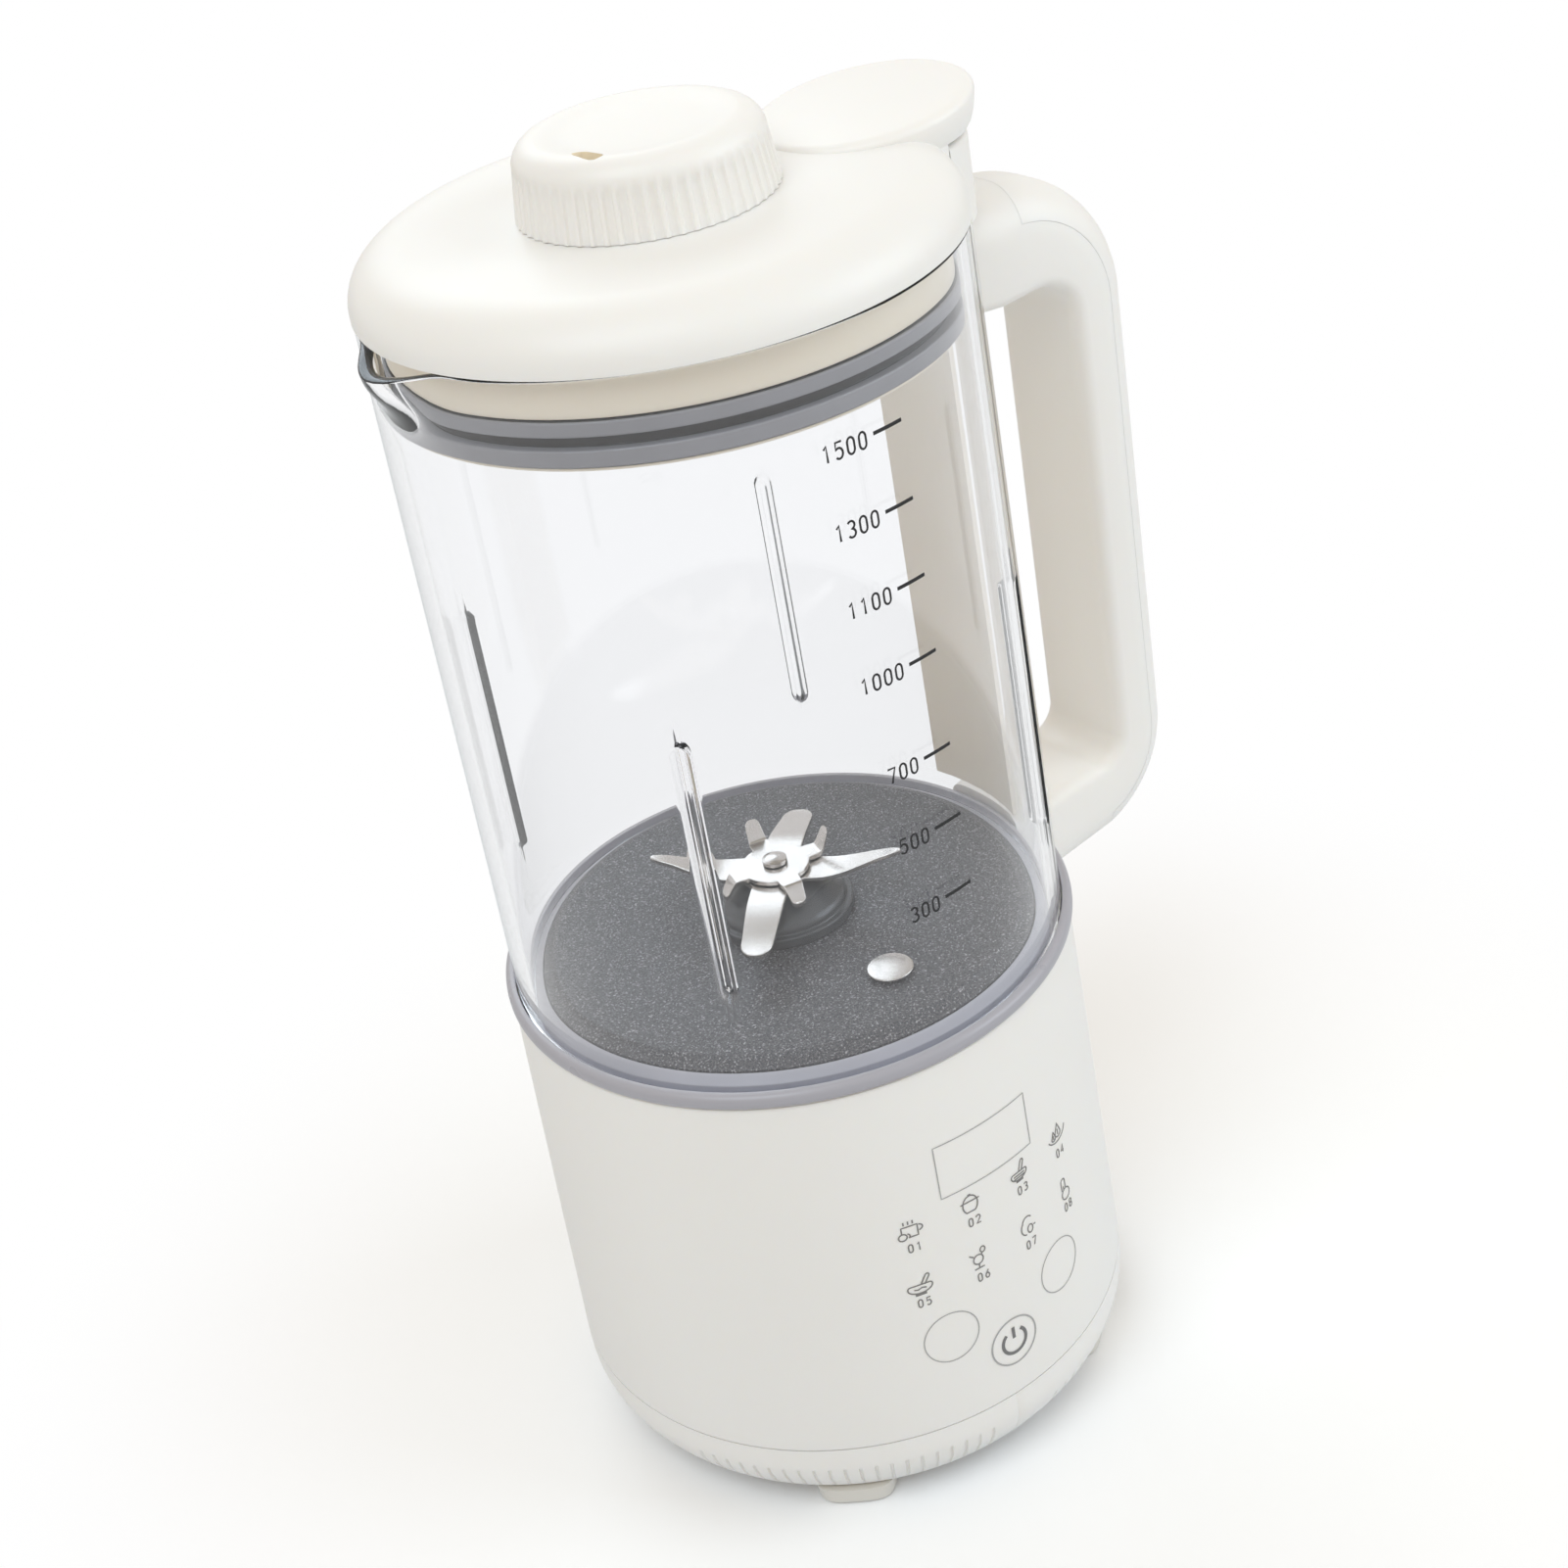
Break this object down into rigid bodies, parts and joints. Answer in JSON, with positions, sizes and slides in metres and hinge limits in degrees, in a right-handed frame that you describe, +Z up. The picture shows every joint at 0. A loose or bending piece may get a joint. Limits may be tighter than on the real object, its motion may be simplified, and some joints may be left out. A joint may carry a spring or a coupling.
{
  "type": "soy milk maker",
  "caption": "Countertop blender that grinds and heats soy milk: a glass jug fixed on a round motor base, with a lift-off lid, a knurled filling cap and a loop handle.",
  "frame": {"origin": "centre of the bounding box in plan, at the height the feet stand on", "axes": "+Z up along the jug's axis; the touch panel faces -Y, the handle is at +X, the spout at -X and the power inlet at +Y. The jug's axis is at x = -0.02215 m, y = 0"},
  "size_m": [0.182, 0.1364, 0.318],
  "materials": {
    "ivory_plastic": "satin moulded plastic",
    "cream_plastic": "satin food-safe plastic",
    "grey_ring_plastic": "glossy lilac-grey plastic",
    "grey_silicone": "matte silicone rubber",
    "foot_rubber": "matte pale rubber",
    "clear_glass": "clear borosilicate glass",
    "nonstick_coating": "dark speckled non-stick coating on aluminium",
    "dark_housing": "dark glossy housing",
    "stainless_steel": "satin stainless steel",
    "motor_iron": "dark laminated iron",
    "copper_winding": "enamelled copper",
    "brass": "stamped brass",
    "carbon": "matte carbon",
    "cast_aluminium": "die-cast aluminium",
    "circuit_board": "green circuit board",
    "black_plastic": "black moulded plastic",
    "relay_blue": "blue component case",
    "film_amber": "amber polyimide film"
  },
  "bodies": {
    "machine": {"bottom_cover": "ivory_plastic", "foot_1": "foot_rubber", "foot_2": "foot_rubber", "foot_3": "foot_rubber", "foot_4": "foot_rubber", "base_shell": "ivory_plastic", "power_inlet": "black_plastic", "jug_ring": "grey_ring_plastic", "jug_gasket": "grey_silicone", "heating_plate": "nonstick_coating", "temperature_probe": "stainless_steel", "probe_seal": "grey_silicone", "heating_element": "stainless_steel", "overheat_cutout": "black_plastic", "jug_glass": "clear_glass", "shaft_housing": "dark_housing", "shaft_seal": "grey_silicone", "upper_bearing": "stainless_steel", "lower_bearing": "stainless_steel", "housing_ring_nut": "cast_aluminium", "upper_motor_bracket": "cast_aluminium", "stator_core": "motor_iron", "field_winding_upper": "copper_winding", "field_winding_lower": "copper_winding", "lower_motor_bracket": "cast_aluminium", "brush_holder_front": "brass", "brush_holder_back": "brass", "carbon_brush_front": "carbon", "carbon_brush_back": "carbon", "control_board": "circuit_board", "display_module": "black_plastic", "touch_film": "film_amber", "power_board": "circuit_board", "relay": "relay_blue", "transformer": "black_plastic", "filter_capacitor": "black_plastic", "handle_body": "ivory_plastic", "handle_cover": "ivory_plastic", "handle_back_strip": "ivory_plastic", "reed_switch": "black_plastic"},
    "rotor": {"motor_shaft": "stainless_steel", "armature_core": "motor_iron", "armature_winding_upper": "copper_winding", "armature_winding_lower": "copper_winding", "commutator": "copper_winding", "cooling_fan": "black_plastic", "long_blades": "stainless_steel", "short_blades": "stainless_steel", "blade_nut": "stainless_steel"},
    "lid": {"lid_shell": "ivory_plastic", "lid_magnet": "motor_iron", "lid_plug": "cream_plastic", "lid_filling_tube": "cream_plastic", "lid_seal": "grey_silicone"},
    "cap_seal": {"cap_seal": "grey_silicone"},
    "cap": {"cap_shell": "ivory_plastic", "cap_neck": "cream_plastic"}
  },
  "joints": [
    {"name": "rotor_spin", "type": "hinge", "parent": "machine", "child": "rotor", "pos_m": [-0.02215, 0, 0.1404], "axis": [0, 0, 1], "continuous": true},
    {"name": "lid_lift", "type": "slide", "parent": "machine", "child": "lid", "axis": [0, 0, 1], "range_m": [0, 0.06]},
    {"name": "cap_lift", "type": "slide", "parent": "lid", "child": "cap_seal", "axis": [0, 0, 1], "range_m": [0, 0.03]},
    {"name": "cap_turn", "type": "hinge", "parent": "cap_seal", "child": "cap", "pos_m": [-0.02215, 0, 0.303], "axis": [0, 0, 1], "continuous": true}
  ]
}
